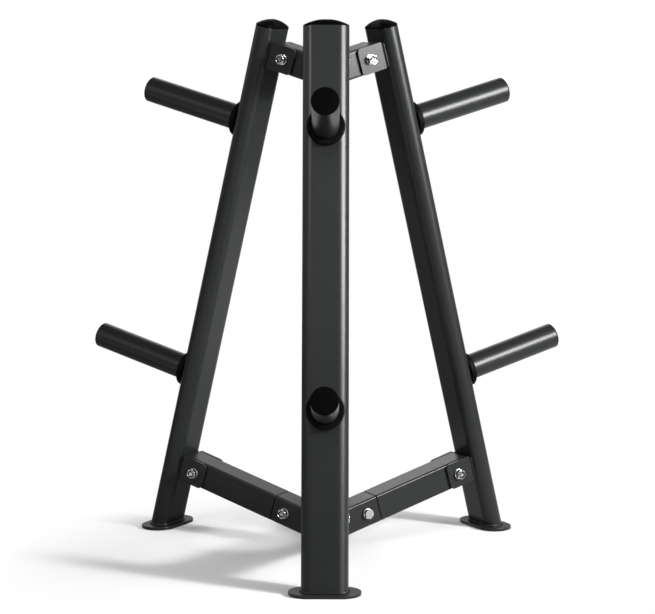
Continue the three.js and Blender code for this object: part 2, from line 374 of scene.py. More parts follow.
@dataclass(frozen=True)
class Moulding(Finish):
    """Black moulded plastic or rubber with a fine spark grain."""

    name: str = "black_cap_plastic"
    slot: Slot = Slot.PLASTIC
    dark: Shade = (1, 1, 1)
    pale: Shade = (3, 3, 3)
    gloss: float = 0.5
    uneven: float = 0.12
    specular_level: float = 0.02
    cloud_scale: float = 25.0
    cloud_share: float = 0.7
    grain_scale: float = 1500.0
    grain_height: float = 0.00003

    def pattern(self, graph: Graph, place: Sock) -> Pattern:
        """The moulding's clouds and grain.

        Args:
            graph: The material's graph.
            place: A place on the surface.

        Returns:
            The finish's pattern at the place.
        """
        cloud = graph.noise(place, self.cloud_scale, detail=3.0)
        grain = graph.noise(place, self.grain_scale, detail=2.0, rough=0.6)
        mottle = cloud * self.cloud_share + grain * (1.0 - self.cloud_share)
        return mottle, cloud - 0.5, grain * self.grain_height


@dataclass(frozen=True)
class ZincPlate(Finish):
    """Bright zinc plate on fasteners: metal with a faint cloudy passivation and fine tool marks."""

    name: str = "bright_zinc"
    slot: Slot = Slot.ZINC
    dark: Shade = (160, 162, 165)
    pale: Shade = (204, 204, 202)
    gloss: float = 0.12
    uneven: float = 0.06
    metallic: float = 1.0
    cloud_scale: float = 260.0
    mark_scale: float = 900.0
    mark_height: float = 0.000001

    def pattern(self, graph: Graph, place: Sock) -> Pattern:
        """The plate's clouds and tool marks.

        Args:
            graph: The material's graph.
            place: A place on the surface.

        Returns:
            The finish's pattern at the place.
        """
        cloud = graph.noise(place, self.cloud_scale, detail=3.0, rough=0.55)
        marks = graph.noise(place, self.mark_scale, detail=1.0)
        return cloud, cloud, marks * self.mark_height


PAINT = PowderCoat()
CAP_PLASTIC = Moulding()
RING_RUBBER = Moulding(
    name="black_ring_rubber",
    slot=Slot.RUBBER,
    pale=(4, 4, 4),
    gloss=0.6,
    specular_level=0.04,
    grain_scale=1100.0,
    grain_height=0.00004,
)
INSERT_NYLON = Moulding(
    name="nut_insert_nylon",
    slot=Slot.ZINC,
    dark=(3, 3, 4),
    pale=(8, 8, 9),
    specular_level=0.05,
    grain_scale=2400.0,
)
ZINC = ZincPlate()


class Wardrobe:
    """Builds each finish once and hands out its material."""

    def __init__(self) -> None:
        """Starts empty."""
        self.made: dict[str, bpy.types.Material] = {}

    def material(self, finish: Finish) -> bpy.types.Material:
        """The finish's material.

        Args:
            finish: One of the tree's finishes.

        Returns:
            Its material, built when it is first asked for.
        """
        if finish.name not in self.made:
            self.made[finish.name] = finish.build()
        return self.made[finish.name]


WARDROBE = Wardrobe()


# Outlines and meshes


def shift(x: float = 0.0, y: float = 0.0, z: float = 0.0) -> Matrix:
    """A move."""
    return Matrix.Translation((x, y, z))


def turn(angle: float, axis: str) -> Matrix:
    """A turn about an axis by an angle in radians."""
    return Matrix.Rotation(angle, 4, axis)


def arc(x: float, y: float, radius: float, start: float, end: float, steps: int) -> Outline:
    """Points on an arc, both ends included.

    Args:
        x: The centre's first coordinate.
        y: The centre's second coordinate.
        radius: The arc's radius.
        start: The angle where it starts, in degrees.
        end: The angle where it ends.
        steps: How many steps lie between the ends.

    Returns:
        The points in order.
    """
    points = []
    for i in range(steps + 1):
        angle = math.radians(start + (end - start) * i / steps)
        points.append((x + radius * math.cos(angle), y + radius * math.sin(angle)))
    return points


def oval(width: float, depth: float, steps: int = 32) -> Outline:
    """A flat-sided oval about the origin.

    Args:
        width: Its long way, along Y.
        depth: Its short way, along X.
        steps: Steps in each round end.

    Returns:
        The outline.
    """
    radius = depth / 2
    straight = width / 2 - radius
    return arc(0, straight, radius, 0, 180, steps) + arc(0, -straight, radius, 180, 360, steps)


def round_square(width: float, height: float, corner: float, steps: int = 8) -> Outline:
    """A rectangle with round corners about the origin.

    Args:
        width: Its size along the first axis.
        height: Its size along the second.
        corner: The corners' radius.
        steps: Steps in each corner.

    Returns:
        The outline.
    """
    x, y = width / 2 - corner, height / 2 - corner
    points: Outline = []
    for cx, cy, start in ((x, y, 0), (-x, y, 90), (-x, -y, 180), (x, -y, 270)):
        points += arc(cx, cy, corner, start, start + 90, steps)
    return points


def circle(radius: float, steps: int = 64) -> Outline:
    """A circle about the origin."""
    return [(radius * math.cos(TURN * i / steps), radius * math.sin(TURN * i / steps)) for i in range(steps)]


def level_ring(outline: Outline, z: float) -> Ring:
    """An outline laid flat at a height."""
    return [Vector((x, y, z)) for x, y in outline]


def cross_ring(outline: Outline, x: float) -> Ring:
    """An outline stood square to X at a place along it."""
    return [Vector((x, a, b)) for a, b in outline]


def axial_ring(outline: Outline, y: float) -> Ring:
    """An outline stood square to Y at a place along it."""
    return [Vector((a, y, b)) for a, b in outline]


def turned_rings(profile: Iterable[Pair]) -> list[Ring]:
    """Rings about Y from points of radius and place along it."""
    return [axial_ring(circle(radius, FASTENER_STEPS), y) for radius, y in profile]


def add_loft(mesh: bmesh.types.BMesh, rings: Sequence[Ring], looped: bool) -> None:
    """Adds one closed shell through rings of equal length.

    Args:
        mesh: The mesh to add to.
        rings: The rings in order.
        looped: True to join the last ring to the first, as on a tube with a wall, and False to close
            the first and last rings with a face each.
    """
    levels = [[mesh.verts.new(point) for point in ring] for ring in rings]
    count = len(rings[0])
    pairs = list(zip(levels, levels[1:]))
    if looped:
        pairs.append((levels[-1], levels[0]))
    for low, high in pairs:
        for i in range(count):
            j = (i + 1) % count
            mesh.faces.new((low[i], low[j], high[j], high[i]))
    if not looped:
        mesh.faces.new(list(reversed(levels[0])))
        mesh.faces.new(levels[-1])


def linked(name: str, data: bpy.types.ID) -> Piece:
    """A new object of the scene.

    Args:
        name: The object's name.
        data: Its mesh, lamp or camera.

    Returns:
        The object, at the origin.
    """
    made = bpy.data.objects.new(name, data)
    bpy.context.scene.collection.objects.link(made)
    return made


def plain_object(
    name: str, points: Sequence[Sequence[float]], edges: Sequence = (), faces: Sequence = ()
) -> Piece:
    """An object from plain lists.

    Args:
        name: The object's name.
        points: Its points.
        edges: Pairs of points.
        faces: Rounds of points.

    Returns:
        The object, linked to the scene.
    """
    data = bpy.data.meshes.new(name)
    data.from_pydata([tuple(point) for point in points], edges, faces)
    return linked(name, data)


def mesh_object(name: str, parts: Iterable[tuple[Sequence[Ring], bool]]) -> Piece:
    """An object of one or more closed shells with their faces outwards.

    Args:
        name: The object's name.
        parts: Rings and whether they are looped, for each shell.

    Returns:
        The object, linked to the scene.
    """
    mesh = bmesh.new()
    for rings, looped in parts:
        add_loft(mesh, rings, looped)
    bmesh.ops.recalc_face_normals(mesh, faces=mesh.faces)
    data = bpy.data.meshes.new(name)
    mesh.to_mesh(data)
    mesh.free()
    return linked(name, data)


def drop(made: Piece) -> None:
    """Deletes an object and its mesh.

    Args:
        made: The object.
    """
    data = made.data
    bpy.data.objects.remove(made)
    if data and data.users == 0:
        bpy.data.meshes.remove(data)


def bake(made: Piece) -> None:
    """Turns an object with modifiers into its plain result.

    Args:
        made: The object.
    """
    depsgraph = bpy.context.evaluated_depsgraph_get()
    depsgraph.update()
    result = bpy.data.meshes.new_from_object(
        made.evaluated_get(depsgraph), preserve_all_data_layers=True, depsgraph=depsgraph
    )
    old = made.data
    made.modifiers.clear()
    made.data = result
    result.name = made.name
    if old.users == 0:
        bpy.data.meshes.remove(old)


def carve(made: Piece, cut: Cut, tools: Sequence[Piece]) -> None:
    """Joins tools to an object or cuts it with them, and deletes them.

    Args:
        made: The object to change.
        cut: What to do with the tools.
        tools: The objects to join or cut with.
    """
    for tool in tools:
        change = made.modifiers.new("carve", "BOOLEAN")
        change.operation = cut.value
        change.solver = "EXACT"
        change.object = tool
    bake(made)
    for tool in tools:
        drop(tool)


def soften(made: Piece, width: float, angle: float = 40.0, segments: int = 3) -> None:
    """Rounds an object's sharp edges.

    Args:
        made: The object.
        width: The width of the rounding, in millimetres.
        angle: Edges over this angle, in degrees, are rounded.
        segments: Faces across each rounding.
    """
    change = made.modifiers.new("soften", "BEVEL")
    change.width = width
    change.segments = segments
    change.limit_method = "ANGLE"
    change.angle_limit = math.radians(angle)
    change.use_clamp_overlap = True
    change.miter_outer = "MITER_ARC"
    bake(made)


def shade(made: Piece, shading: Shading, weight: int = 80) -> None:
    """Shades an object smooth, apart from its sharp edges.

    Args:
        made: The object.
        shading: Which edges stay sharp, and whether flat faces stay flat.
        weight: How much more a large face counts than a small one, where flat faces stay flat.
    """
    sharp, even = shading.value
    made.data.shade_smooth()
    made.data.set_sharp_from_angle(angle=math.radians(sharp))
    if even:
        change = made.modifiers.new("even", "WEIGHTED_NORMAL")
        change.weight = weight
        change.keep_sharp = True
        bake(made)


@dataclass
class Dresser:
    """Places finished pieces, gives them their finish and ties them to the frame."""

    count: int = 0

    def dress(
        self, made: Piece, finish: Finish, nodes: Sequence[str] = (), shading: Shading = Shading.PLAIN
    ) -> None:
        """Finishes a piece that is in place.

        Args:
            made: The piece.
            finish: Its finish.
            nodes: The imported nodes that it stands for.
            shading: How it is shaded.
        """
        shade(made, shading)
        made.data.materials.clear()
        made.data.materials.append(WARDROBE.material(finish))
        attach(made, BODY)
        if nodes:
            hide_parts(*nodes)
        self.count += 1
        log.info("%s: %d faces", made.name, len(made.data.polygons))

    def fit(self, made: Piece, matrix: Matrix, finish: Finish, node: str) -> None:
        """Moves a piece from millimetres about its own origin to its place, and finishes it.

        Args:
            made: The piece.
            matrix: Its place in the row frame, in millimetres.
            finish: Its finish.
            node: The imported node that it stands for.
        """
        made.data.transform(Matrix.Scale(MM, 4) @ matrix)
        made.data.update()
        self.dress(made, finish, [node])


DRESSER = Dresser()


# Where things are


@dataclass(frozen=True)
class Stance:
    """How the legs stand, and where the braces and pegs meet them."""

    lean: float = math.radians(14.2)
    tilt: float = math.radians(15.8)
    foot_radius: float = 361.715
    plate_setback: float = 2.0
    brace_rise: dict[Level, float] = field(default_factory=lambda: {Level.LOWER: 134.2, Level.UPPER: 953.7})
    peg_rise: dict[Level, float] = field(default_factory=lambda: {Level.LOWER: 316.5, Level.UPPER: 816.5})

    def middle(self) -> Matrix:
        """The tree's middle line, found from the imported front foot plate.

        Returns:
            The frame of the tree about its middle, on the floor.
        """
        low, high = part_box("foot_plate_front")
        plate_y = (low.y + high.y) / 2 / MM
        return shift(y=plate_y + self.foot_radius - self.plate_setback)

    def foot(self, side: Side) -> Matrix:
        """A foot plate's frame, about its own middle on the floor."""
        return self.middle() @ turn(side.azimuth, "Z") @ shift(self.foot_radius - self.plate_setback)

    def leg(self, side: Side) -> Matrix:
        """A leg's frame, from where its axis meets the floor."""
        return self.middle() @ turn(side.azimuth, "Z") @ shift(self.foot_radius) @ turn(-self.lean, "Y")

    def rise(self, side: Side, height: float) -> Matrix:
        """A leg's frame moved up the leg."""
        return self.leg(side) @ shift(z=height)

    def brace(self, side: Side, level: Level) -> Matrix:
        """A brace's frame where it meets a leg's axis."""
        return self.rise(side, self.brace_rise[level]) @ turn(self.lean - self.tilt, "Y")

    def leg_radius(self, level: Level) -> float:
        """How far a leg's axis is from the tree's middle line where a brace meets it."""
        return self.foot_radius - self.brace_rise[level] * math.sin(self.lean)

    def leg_reach(self, level: Level) -> float:
        """How far along a brace the leg's axis is from the middle of the hub."""
        return self.leg_radius(level) / math.cos(self.tilt)

    def hub(self, level: Level) -> Matrix:
        """A hub's upright frame, about its middle."""
        fall = self.leg_radius(level) * math.tan(self.tilt)
        return self.middle() @ shift(z=self.brace_rise[level] * math.cos(self.lean) - fall)

    def swing(self, side: Side) -> Matrix:
        """The turn from a hub's frame to one of its arms, whose +X is along the arm."""
        return turn(side.azimuth, "Z") @ turn(-self.tilt, "Y")


STANCE = Stance()


@dataclass(frozen=True)
class BraceTube:
    """The square tube of the hubs' arms and the lower bars, and its joints."""

    size: float = 50.8
    wall: float = 2.5
    corner: float = 4.0
    inner_corner: float = 2.75
    ease: float = 0.6
    hole: float = 11.0
    hole_steps: int = 32
    arm_reach: float = 105.0
    joint_inset: float = 26.0
    bolt_place: float = 54.0

    @property
    def hollow(self) -> float:
        """The tube's size inside."""
        return self.size - 2 * self.wall


TUBE = BraceTube()


# Repeated things made with Geometry Nodes


class Repeater:
    """A Geometry Nodes tree with named inputs, run once on an object."""

    def __init__(self, name: str, inputs: dict[str, tuple[str, object]]) -> None:
        """Starts a tree.

        Args:
            name: The tree's name.
            inputs: Socket type and value of each named input.
        """
        self.tree = bpy.data.node_groups.new(name, "GeometryNodeTree")
        face = self.tree.interface
        face.new_socket("Geometry", in_out="INPUT", socket_type="NodeSocketGeometry")
        face.new_socket("Geometry", in_out="OUTPUT", socket_type="NodeSocketGeometry")
        self.values: dict[str, object] = {}
        for label, (kind, value) in inputs.items():
            socket = face.new_socket(label, in_out="INPUT", socket_type=kind)
            self.values[socket.identifier] = value
        self.graph = Graph(self.tree)
        self.source = self.graph.node("NodeGroupInput")

    def input(self, label: str) -> Sock:
        """One of the tree's inputs."""
        return Sock(self.graph, self.source.outputs[label])

    def run(self, shape: Sock, made: Piece) -> None:
        """Realizes the shape, sets its material, runs the tree and keeps the plain result.

        Args:
            shape: What the tree makes.
            made: The object to run the tree on.
        """
        real = self.graph.add("GeometryNodeRealizeInstances", None, {"Geometry": shape})
        keys = {"Geometry": real, "Material": self.input("Material")}
        dressed = self.graph.add("GeometryNodeSetMaterial", None, keys)
        self.graph.node("NodeGroupOutput", None, {"Geometry": dressed})
        change = made.modifiers.new(self.tree.name, "NODES")
        change.node_group = self.tree
        for identifier, value in self.values.items():
            change[identifier] = value
        bake(made)


@dataclass(frozen=True)
class WeldBead:
    """A bead of weld along a path: a round bead whose ripples lie close together."""

    radius: float
    pitch: float = 2.6
    depth: float = 0.16
    wander: float = 0.12
    wander_scale: float = 120.0
    steps_per_ripple: float = 4.0
    sides: int = 10

    def lay(self, name: str, matrix: Matrix, points: Sequence[Vector], looped: bool, seed: int) -> None:
        """Lays the bead and paints it.

        Args:
            name: The piece's name.
            matrix: The frame that the path is in, in millimetres.
            points: The path.
            looped: True for a bead that closes on itself.
            seed: Sets where the bead wanders.
        """
        count = len(points)
        edges = [(i, (i + 1) % count) for i in range(count if looped else count - 1)]
        metres = Matrix.Scale(MM, 4) @ matrix
        made = plain_object(name, [metres @ point for point in points], edges)
        repeater = Repeater(
            "weld_bead",
            {
                "Bead radius": ("NodeSocketFloat", self.radius * MM),
                "Ripple pitch": ("NodeSocketFloat", self.pitch * MM),
                "Ripple depth": ("NodeSocketFloat", self.depth),
                "Wander": ("NodeSocketFloat", self.wander),
                "Seed": ("NodeSocketFloat", float(seed)),
                "Material": ("NodeSocketMaterial", WARDROBE.material(PAINT)),
            },
        )
        graph = repeater.graph
        pitch = repeater.input("Ripple pitch")
        line = graph.add("GeometryNodeMeshToCurve", None, {"Mesh": repeater.input("Geometry")})
        keys = {"Curve": line, "Length": pitch / self.steps_per_ripple}
        steps = graph.add("GeometryNodeResampleCurve", {"mode": "LENGTH"}, keys)
        along = graph.add("GeometryNodeSplineParameter", output="Length")
        ripple = 1.0 - (along / pitch).fract() * repeater.input("Ripple depth")
        keys = {"Scale": self.wander_scale, "Detail": 1.0, "W": repeater.input("Seed")}
        drift = graph.add("ShaderNodeTexNoise", {"noise_dimensions": "4D"}, keys)
        size = repeater.input("Bead radius") * (ripple + (drift - 0.5) * repeater.input("Wander"))
        keys = {"Resolution": self.sides, "Radius": 1.0}
        section = graph.add("GeometryNodeCurvePrimitiveCircle", None, keys)
        keys = {"Curve": steps, "Profile Curve": section, "Scale": size, "Fill Caps": True}
        repeater.run(graph.add("GeometryNodeCurveToMesh", None, keys), made)
        DRESSER.dress(made, PAINT, shading=Shading.BEAD)


# Legs


@dataclass
class Leg:
    """A leg of flat-sided oval tube with its foot plate, the weld at its foot and its cap."""

    side: Side
    width: float = 82.5
    depth: float = 38.0
    wall: float = 2.5
    length: float = 1000.0
    edge: float = 0.7
    plate_width: float = 127.0
    plate_depth: float = 66.0
    plate_thickness: float = 6.0
    plate_edge: float = 1.0
    gap: float = GAP
    weld: WeldBead = WeldBead(radius=2.2)
    weld_lift: float = 0.35
    weld_out: float = 0.3
    cap_flange: float = 2.8
    cap_edge: float = 0.4
    cap_shoulder: float = 0.5
    cap_dome: float = 11.0
    rim_shares: tuple[float, ...] = (0.98, 0.96, 0.94, 0.92)
    dome_shares: tuple[float, ...] = (0.86, 0.78, 0.7, 0.62, 0.54, 0.46, 0.38, 0.3, 0.22, 0.14, 0.06)
    plug_length: float = 14.0
    plug_clearance: float = 0.4
    plug_lead_depth: float = 1.5
    plug_lead_length: float = 2.5

    def oval_at(self, inset: float) -> Outline:
        """The tube's outline, moved inwards."""
        return oval(self.width - 2 * inset, self.depth - 2 * inset)

    def foot_ring(self, inset: float, height: float = 0.0) -> Ring:
        """The outline where it meets a level plane above the foot plate.

        Args:
            inset: How far the outline is moved inwards.
            height: How far the plane is above the tube's end.

        Returns:
            The ring in the leg's frame.
        """
        floor = self.plate_thickness + self.gap + height
        slope, rise = math.sin(STANCE.lean), math.cos(STANCE.lean)
        return [Vector((x, y, (floor - x * slope) / rise)) for x, y in self.oval_at(inset)]

    def tube(self) -> None:
        """The tube, cut level at the foot and square at the top, with eased edges at the top."""
        edge, middle = self.edge, self.edge * EASE_MIDDLE
        rings = [self.foot_ring(0)]
        for inset, below in ((0, edge), (middle, middle), (edge, 0)):
            rings.append(level_ring(self.oval_at(inset), self.length - below))
        rings += [level_ring(self.oval_at(self.wall), self.length), self.foot_ring(self.wall)]
        made = mesh_object(f"{self.side.word}_leg_tube", [(rings, True)])
        DRESSER.fit(made, STANCE.leg(self.side), PAINT, f"leg_{self.side.word}")

    def plate(self) -> None:
        """The oval foot plate with eased edges."""

        def ring(inset: float, z: float) -> Ring:
            """The plate's outline at a height."""
            return level_ring(oval(self.plate_width - 2 * inset, self.plate_depth - 2 * inset, steps=40), z)

        edge = self.plate_edge
        rings = [ring(edge / 2, 0), ring(0, edge / 2)]
        for inset, below in arc(edge, edge, edge, 180, 270, 4):
            rings.append(ring(inset, self.plate_thickness - below))
        made = mesh_object(f"{self.side.word}_oval_foot", [(rings, False)])
        DRESSER.fit(made, STANCE.foot(self.side), PAINT, f"foot_plate_{self.side.word}")

    def foot_weld(self) -> None:
        """The bead all round the foot of the tube."""
        points = self.foot_ring(-self.weld.radius * self.weld_out, self.weld.radius * self.weld_lift)
        seed = list(Side).index(self.side)
        self.weld.lay(f"{self.side.word}_foot_weld", STANCE.leg(self.side), points, True, seed)

    def cap(self) -> None:
        """The domed cap, with its plug in the tube and a thin rim on the tube's end."""
        plug = self.wall + self.plug_clearance
        end = self.length - self.plug_length
        foot = self.length + self.gap
        top = foot + self.cap_flange
        profile = [(plug + self.plug_lead_depth, end), (plug, end + self.plug_lead_length), (plug, foot)]
        profile += [(self.cap_edge, foot), (0, foot + self.cap_edge), (0, top - self.cap_shoulder)]
        rings = [level_ring(self.oval_at(inset), z) for inset, z in profile]
        for share in self.rim_shares + self.dome_shares:
            outline = oval(self.width * share, self.depth * share)
            rings.append(level_ring(outline, top + self.cap_dome * (1 - share * share)))
        made = mesh_object(f"{self.side.word}_leg_dome", [(rings, False)])
        DRESSER.fit(made, STANCE.leg(self.side), CAP_PLASTIC, f"leg_cap_{self.side.word}")

    def build(self) -> None:
        """Builds the whole leg."""
        self.tube()
        self.plate()
        self.foot_weld()
        self.cap()


# Pegs


@dataclass
class PlatePeg:
    """A peg that plates hang on: its tube, its end cap and the rubber ring at its root."""

    side: Side
    level: Level
    diameter: float = 48.0
    wall: float = 3.0
    reach: float = 214.0
    edge: float = 0.8
    gap: float = GAP
    leg_face: float = 19.0
    cap_flange: float = 1.6
    cap_crown: float = 0.9
    cap_edge: float = 1.0
    cap_foot_edge: float = 0.2
    crown_shares: tuple[float, ...] = (0.86, 0.65, 0.4, 0.15)
    plug_length: float = 12.0
    plug_clearance: float = 0.4
    plug_lead_depth: float = 1.0
    plug_lead_length: float = 2.0
    ring_diameter: float = 68.0
    ring_thickness: float = 12.0
    ring_clearance: float = 0.5
    ring_edge: float = 2.8
    ring_chamfer: float = 0.6
    mould_line_half: float = 0.5
    mould_line_height: float = 0.2

    def turned(
        self, name: str, node: str, profile: Outline, looped: bool, finish: Finish, out: float = 0.0
    ) -> None:
        """Builds a turned piece along the peg and finishes it.

        Args:
            name: The end of the piece's name.
            node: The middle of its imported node's name.
            profile: Points of radius and place along the peg.
            looped: True for a ring or tube, False for a solid.
            finish: Its finish.
            out: Where the profile starts from the leg's face.
        """
        rings = [cross_ring(circle(radius), along) for radius, along in profile]
        made = mesh_object(f"{self.side.word}_{self.level.value}_{name}", [(rings, looped)])
        matrix = STANCE.rise(self.side, STANCE.peg_rise[self.level]) @ shift(self.leg_face + out)
        DRESSER.fit(made, matrix, finish, f"{self.level.value}_{node}_{self.side.word}")

    def tube(self) -> None:
        """The peg's tube."""
        radius, end, edge = self.diameter / 2, self.reach, self.edge
        bore = radius - self.wall
        profile = [(bore, self.gap), (radius, self.gap)]
        profile += arc(radius - edge, end - edge, edge, 0, 90, 3) + [(bore, end)]
        self.turned("peg_tube", "peg", profile, True, PAINT)

    def cap(self) -> None:
        """The thin cap in the peg's end."""
        radius, edge, foot_edge = self.diameter / 2, self.cap_edge, self.cap_foot_edge
        plug = radius - self.wall - self.plug_clearance
        top = self.gap + self.cap_flange
        profile = [(plug - self.plug_lead_depth, -self.plug_length)]
        profile += [(plug, -self.plug_length + self.plug_lead_length), (plug, self.gap)]
        profile += [(radius - foot_edge, self.gap), (radius, self.gap + foot_edge)]
        profile += arc(radius - edge, top - edge, edge, 0, 80, 4)
        for share in self.crown_shares:
            profile.append((radius * share, top + self.cap_crown * (1 - share * share)))
        self.turned("peg_end", "peg_cap", profile, False, CAP_PLASTIC, self.reach)

    def ring(self) -> None:
        """The rubber stop ring, with round edges and a faint mould line."""
        bore, radius = self.diameter / 2 + self.ring_clearance, self.ring_diameter / 2
        back, front = self.gap, self.gap + self.ring_thickness
        middle, half = (back + front) / 2, self.mould_line_half
        crest, edge, chamfer = radius + self.mould_line_height, self.ring_edge, self.ring_chamfer
        profile = [(bore + chamfer, back)] + arc(radius - edge, back + edge, edge, -90, 0, 6)
        profile += [(radius, middle - half), (crest, middle), (radius, middle + half)]
        profile += arc(radius - edge, front - edge, edge, 0, 90, 6)
        profile += [(bore + chamfer, front), (bore, front - chamfer), (bore, back + chamfer)]
        self.turned("stop_ring", "stop_ring", profile, True, RING_RUBBER)

    def build(self) -> None:
        """Builds the whole peg."""
        self.tube()
        self.cap()
        self.ring()


# Braces


def square_bar(name: str, size: float, corner: float, start: float, end: float, ease: float) -> Piece:
    """A solid bar of square section along X.

    Args:
        name: The object's name.
        size: The section's width and height.
        corner: The section's corner radius.
        start: Where the bar starts.
        end: Where it ends.
        ease: How much the edges of its ends are eased.

    Returns:
        The bar, in millimetres.
    """
    full = round_square(size, size, corner)
    small = round_square(size - 2 * ease, size - 2 * ease, corner - ease)
    places = ((small, start), (full, start + ease), (full, end - ease), (small, end))
    return mesh_object(name, [([cross_ring(outline, x) for outline, x in places], False)])


def drill(reach: float, along: float) -> Piece:
    """A rod along Y, in millimetres, to cut a bolt hole with."""
    outline = [(x + along, z) for x, z in circle(TUBE.hole / 2, TUBE.hole_steps)]
    return mesh_object("drill", [([axial_ring(outline, -reach), axial_ring(outline, reach)], False)])


@dataclass
class Bracket:
    """The channel on a leg's inner face that takes the end of a brace."""

    side: Side
    level: Level
    plate: float = 5.0
    length: float = 57.0
    height: float = 50.0
    corner: float = 8.0
    bend: float = 6.0
    inner_half: float = 25.9
    seat: float = 19.78
    edge: float = 0.6
    weld: WeldBead = WeldBead(radius=2.0, pitch=3.4)
    weld_sink: float = 0.8
    weld_inset: float = 2.2
    weld_steps: int = 12
    weld_seed: int = 11

    def top_outline(self) -> Outline:
        """The channel seen from above: a U with bent corners at the leg.

        Returns:
            The outline.
        """
        back = -self.seat
        front = back - self.length
        bend, small = self.bend, self.bend - self.plate
        inner, outer = self.inner_half, self.inner_half + self.plate
        points = arc(back - bend, outer - bend, bend, 90, 0, 8)
        points += arc(back - bend, -outer + bend, bend, 0, -90, 8)
        points += [(front, -outer), (front, -inner)]
        points += arc(back - self.plate - small, -inner + small, small, -90, 0, 3)
        points += arc(back - self.plate - small, inner - small, small, 0, 90, 3)
        return points + [(front, inner), (front, outer)]

    def channel(self) -> None:
        """The bent plate with round corners and its bolt hole."""
        outline, reach = self.top_outline(), 2 * self.height
        rings = [level_ring(outline, -self.height), level_ring(outline, self.height)]
        made = mesh_object(f"{self.side.word}_{self.level.value}_channel", [(rings, False)])
        middle = -self.seat - self.length / 2
        profile = [(x + middle, z) for x, z in round_square(self.length, self.height, self.corner, 10)]
        block = mesh_object("block", [([axial_ring(profile, -reach), axial_ring(profile, reach)], False)])
        carve(made, Cut.KEEP, [block])
        carve(made, Cut.REMOVE, [drill(reach, -TUBE.bolt_place)])
        soften(made, self.edge)
        node = f"{self.level.value}_bracket_{self.side.word}"
        DRESSER.fit(made, STANCE.brace(self.side, self.level), PAINT, node)

    def welds(self) -> None:
        """A bead down each edge of the channel, where it meets the leg's round sides."""
        matrix = STANCE.brace(self.side, self.level)
        half = self.height / 2 - self.corner / 2
        heights = [-half + 2 * half * step / self.weld_steps for step in range(self.weld_steps + 1)]
        across = self.inner_half + self.plate - self.weld_inset
        for mark, sign in (("near", 1), ("far", -1)):
            points = [Vector((-self.seat + self.weld_sink, sign * across, z)) for z in heights]
            name = f"{self.side.word}_{self.level.value}_channel_weld_{mark}"
            self.weld.lay(name, matrix, points, False, self.weld_seed + sign)

    def build(self) -> None:
        """Builds the bracket and its welds."""
        self.channel()
        self.welds()


@dataclass
class LowerBrace:
    """The lower brace bar between a hub arm and a leg's bracket."""

    side: Side
    joint_gap: float = 1.7
    leg_end: float = 27.78
    bore_ease: float = 0.1

    def build(self) -> None:
        """Builds the bar as a tube with its bolt hole."""
        size = TUBE.size
        joint = STANCE.leg_reach(Level.LOWER) - TUBE.arm_reach
        start, end = -joint + self.joint_gap, -self.leg_end
        made = square_bar(f"{self.side.word}_brace_tube", size, TUBE.corner, start, end, TUBE.ease)
        bore = square_bar("bore", TUBE.hollow, TUBE.inner_corner, start - size, end + size, self.bore_ease)
        carve(made, Cut.REMOVE, [bore, drill(size, -TUBE.bolt_place)])
        DRESSER.fit(made, STANCE.brace(self.side, Level.LOWER), PAINT, f"brace_bar_{self.side.word}")


@dataclass
class Hub:
    """A hub of three square tube arms, mitred together in the middle of the tree."""

    level: Level
    bolt_reach: float
    weld: WeldBead = WeldBead(radius=1.8)
    corner_sink: float = 0.2
    corner_short: float = 4.0
    mitre_start: float = 1.0
    mitre_short: float = 3.0
    weld_seed: int = 31

    def swung(self, make: Callable[[], Piece]) -> list[Piece]:
        """A piece for each arm.

        Args:
            make: Makes the piece along +X from the middle of the hub.

        Returns:
            The three pieces, each turned out along its arm.
        """
        made = []
        for side in Side:
            piece = make()
            piece.data.transform(STANCE.swing(side))
            made.append(piece)
        return made

    def arms(self, name: str, size: float, corner: float, end: float) -> list[Piece]:
        """One bar for each arm, from the middle of the hub."""
        start = -TUBE.size / 2 * math.tan(STANCE.tilt)
        return self.swung(lambda: square_bar(name, size, corner, start, end, TUBE.ease))

    def body(self) -> None:
        """The three arms as one hollow piece."""
        name = f"{self.level.value}_hub_arms"
        first, *others = self.arms(name, TUBE.size, TUBE.corner, TUBE.arm_reach)
        carve(first, Cut.JOIN, others)
        bores = self.arms("bore", TUBE.hollow, TUBE.inner_corner, TUBE.arm_reach + TUBE.size)
        carve(first, Cut.REMOVE, bores)
        carve(first, Cut.REMOVE, self.swung(lambda: drill(TUBE.size, self.bolt_reach)))
        DRESSER.fit(first, STANCE.hub(self.level), PAINT, f"{self.level.value}_hub")

    def welds(self) -> None:
        """Beads in the three upright corners and along the three top mitres."""
        half = TUBE.size / 2
        rise = half / math.cos(STANCE.tilt)
        notch = half / math.sin(SIXTH)

        def lift(radius: float) -> float:
            """How far the mitre has risen at a distance from the middle."""
            return radius * math.cos(SIXTH) * math.tan(STANCE.tilt)

        reach = rise - self.corner_short
        heights = (lift(notch) - reach, 0.0, lift(notch) + reach)
        corner = [Vector((notch - self.corner_sink, 0, z)) for z in heights]
        radii = (self.mitre_start, notch / 2, notch - self.mitre_short)
        mitre = [Vector((radius, 0, rise + lift(radius))) for radius in radii]
        for i, side in enumerate(Side):
            matrix = STANCE.hub(self.level) @ turn(side.azimuth + math.pi, "Z")
            for mark, points in (("corner", corner), ("mitre", mitre)):
                name = f"{self.level.value}_hub_{mark}_weld_{i + 1}"
                self.weld.lay(name, matrix, points, False, self.weld_seed + i)

    def build(self) -> None:
        """Builds the hub and its welds."""
        self.body()
        self.welds()


# Fasteners


